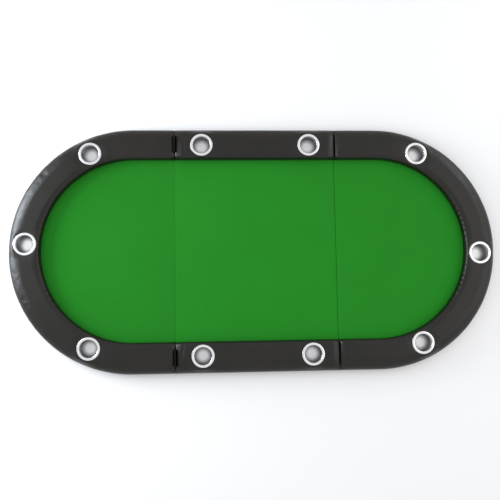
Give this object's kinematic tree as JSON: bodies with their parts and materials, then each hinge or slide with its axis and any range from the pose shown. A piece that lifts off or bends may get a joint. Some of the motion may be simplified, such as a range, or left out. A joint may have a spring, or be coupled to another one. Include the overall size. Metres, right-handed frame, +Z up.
{
  "type": "folding poker table top",
  "caption": "Stadium-shaped folding card table top with a padded vinyl armrest rail, green playing cloth and steel cup holders; its end panels fold over and under the middle one.",
  "frame": {"origin": "under the middle of the open top, on the surface its feet stand on", "axes": "+X along the table's length, +Y across it, +Z up out of the playing cloth"},
  "size_m": [2.134, 1.067, 0.0675],
  "materials": {
    "fibreboard": "sanded fibreboard",
    "underlay_foam": "closed-cell foam sheet",
    "green_cloth": "brushed playing cloth",
    "padding_foam": "upholstery foam",
    "black_vinyl": "semi-gloss grained vinyl",
    "cup_steel": "polished flange, brushed inside",
    "foot_rubber": "moulded",
    "black_steel": "satin black",
    "zinc_steel": "zinc plated"
  },
  "bodies": {
    "left": {"left_board": "fibreboard", "left_underlay": "underlay_foam", "left_playing_cloth": "green_cloth", "left_rail_core": "fibreboard", "left_rail_padding": "padding_foam", "left_rail_cover": "black_vinyl", "left_end_cup_holder": "cup_steel", "left_back_cup_holder": "cup_steel", "left_front_cup_holder": "cup_steel", "left_feet": "foot_rubber", "left_foot_screws": "zinc_steel", "left_rail_screws": "zinc_steel", "left_cover_staples": "zinc_steel", "left_hinge_screws": "zinc_steel", "front_rail_hinge_left_leaf": "black_steel", "back_rail_hinge_left_leaf": "black_steel"},
    "middle": {"middle_board": "fibreboard", "middle_underlay": "underlay_foam", "middle_playing_cloth": "green_cloth", "middle_front_rail_core": "fibreboard", "middle_front_rail_padding": "padding_foam", "middle_front_rail_cover": "black_vinyl", "middle_back_rail_core": "fibreboard", "middle_back_rail_padding": "padding_foam", "middle_back_rail_cover": "black_vinyl", "middle_front_left_cup_holder": "cup_steel", "middle_back_left_cup_holder": "cup_steel", "middle_front_right_cup_holder": "cup_steel", "middle_back_right_cup_holder": "cup_steel", "middle_feet": "foot_rubber", "middle_foot_screws": "zinc_steel", "middle_rail_screws": "zinc_steel", "middle_cover_staples": "zinc_steel", "middle_hinge_screws": "zinc_steel", "front_rail_hinge_middle_leaf": "black_steel", "back_rail_hinge_middle_leaf": "black_steel", "front_board_hinge_middle_leaf": "zinc_steel", "centre_board_hinge_middle_leaf": "zinc_steel", "back_board_hinge_middle_leaf": "zinc_steel", "rail_hinge_pins": "black_steel", "board_hinge_pins": "zinc_steel"},
    "right": {"right_board": "fibreboard", "right_underlay": "underlay_foam", "right_playing_cloth": "green_cloth", "right_rail_core": "fibreboard", "right_rail_padding": "padding_foam", "right_rail_cover": "black_vinyl", "right_end_cup_holder": "cup_steel", "right_front_cup_holder": "cup_steel", "right_back_cup_holder": "cup_steel", "right_feet": "foot_rubber", "right_foot_screws": "zinc_steel", "right_rail_screws": "zinc_steel", "right_cover_staples": "zinc_steel", "right_hinge_screws": "zinc_steel", "front_board_hinge_right_leaf": "zinc_steel", "centre_board_hinge_right_leaf": "zinc_steel", "back_board_hinge_right_leaf": "zinc_steel"}
  },
  "joints": [
    {"name": "fold_up_joint", "type": "hinge", "parent": "middle", "child": "left", "pos_m": [-0.35567, 0, 0.0645], "axis": [0, 1, 0], "range_deg": [0, 180]},
    {"name": "fold_under_joint", "type": "hinge", "parent": "middle", "child": "right", "pos_m": [0.35567, 0, 0.00275], "axis": [0, 1, 0], "range_deg": [0, 180]}
  ]
}
